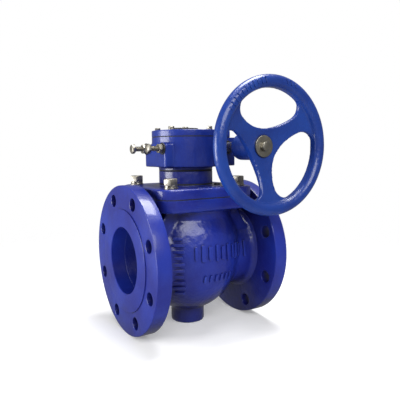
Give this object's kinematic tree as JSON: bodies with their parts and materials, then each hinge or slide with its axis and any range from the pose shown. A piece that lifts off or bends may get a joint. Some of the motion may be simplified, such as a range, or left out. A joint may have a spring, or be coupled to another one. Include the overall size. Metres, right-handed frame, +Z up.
{
  "type": "plug valve",
  "caption": "Flanged quarter-turn eccentric plug valve with a worm gear operator, stop screws, position indicator and a dished handwheel.",
  "frame": {"origin": "centre of the inlet flange's raised face, on the flow axis", "axes": "+X along the flow from inlet to outlet, +Z up, parallel to the stem; the handwheel is on the -Y side"},
  "size_m": [0.2753, 0.2613, 0.3843],
  "materials": {
    "body_paint": "deep blue gloss epoxy over cast iron",
    "wheel_paint": "azure blue gloss epoxy over cast iron",
    "gearbox_paint": "blue gloss epoxy over cast iron",
    "zinc_steel": "zinc plated steel",
    "bare_steel": "machined steel",
    "iron": "machined ductile iron",
    "nickel": "nickel overlay",
    "bronze": "bronze bearing",
    "rubber": "black rubber",
    "packing": "braided packing",
    "black_plastic": "black moulded"
  },
  "bodies": {
    "valve_body": {"body_casting": "body_paint", "seat_ring": "nickel", "lower_bearing_bush": "bronze", "lower_grit_seal": "rubber", "lower_thrust_washer": "bronze", "upper_bearing_bush": "bronze", "upper_grit_seal": "rubber", "packing_rings": "packing", "packing_gland": "bronze", "bonnet_gasket": "rubber", "bonnet": "body_paint", "bonnet_bolts": "zinc_steel", "bonnet_flat_washers": "zinc_steel", "bonnet_spring_washers": "zinc_steel", "bonnet_pipe_plug": "black_plastic", "lower_neck_seal": "rubber", "adapter_neck": "body_paint", "upper_neck_seal": "rubber", "neck_screws": "bare_steel", "gearbox_housing": "gearbox_paint", "cover_gasket": "rubber", "gearbox_cover": "gearbox_paint", "cover_screws": "zinc_steel", "cover_washers": "zinc_steel", "sector_floor_bush": "bronze", "sector_thrust_washer": "bronze", "indicator_seal": "rubber", "worm_front_bush": "bronze", "worm_rear_bush": "bronze", "worm_shaft_seal": "rubber", "worm_end_seal": "rubber", "worm_end_plug": "bare_steel", "stop_screws": "zinc_steel", "stop_lock_nuts": "zinc_steel", "stop_washers": "rubber"},
    "plug_and_sector": {"plug": "iron", "plug_facing": "rubber", "sector_gear": "iron", "sector_key": "bare_steel", "indicator": "black_plastic", "indicator_screw": "zinc_steel"},
    "handwheel_and_worm": {"worm_shaft": "bare_steel", "handwheel": "wheel_paint", "handwheel_key": "bare_steel", "handwheel_washer": "zinc_steel", "handwheel_bolt": "zinc_steel"}
  },
  "joints": [
    {"name": "plug_turn", "type": "hinge", "parent": "valve_body", "child": "plug_and_sector", "pos_m": [0.1143, 0.004, 0.17], "axis": [0, 0, 1], "range_deg": [0, 90]},
    {"name": "handwheel_turn", "type": "hinge", "parent": "valve_body", "child": "handwheel_and_worm", "pos_m": [0.1753, -0.118, 0.17], "axis": [0, 1, 0], "range_deg": [0, 3600]}
  ],
  "couplings": [
    {"joint": "handwheel_turn", "follows": "plug_turn", "ratio": 40}
  ]
}
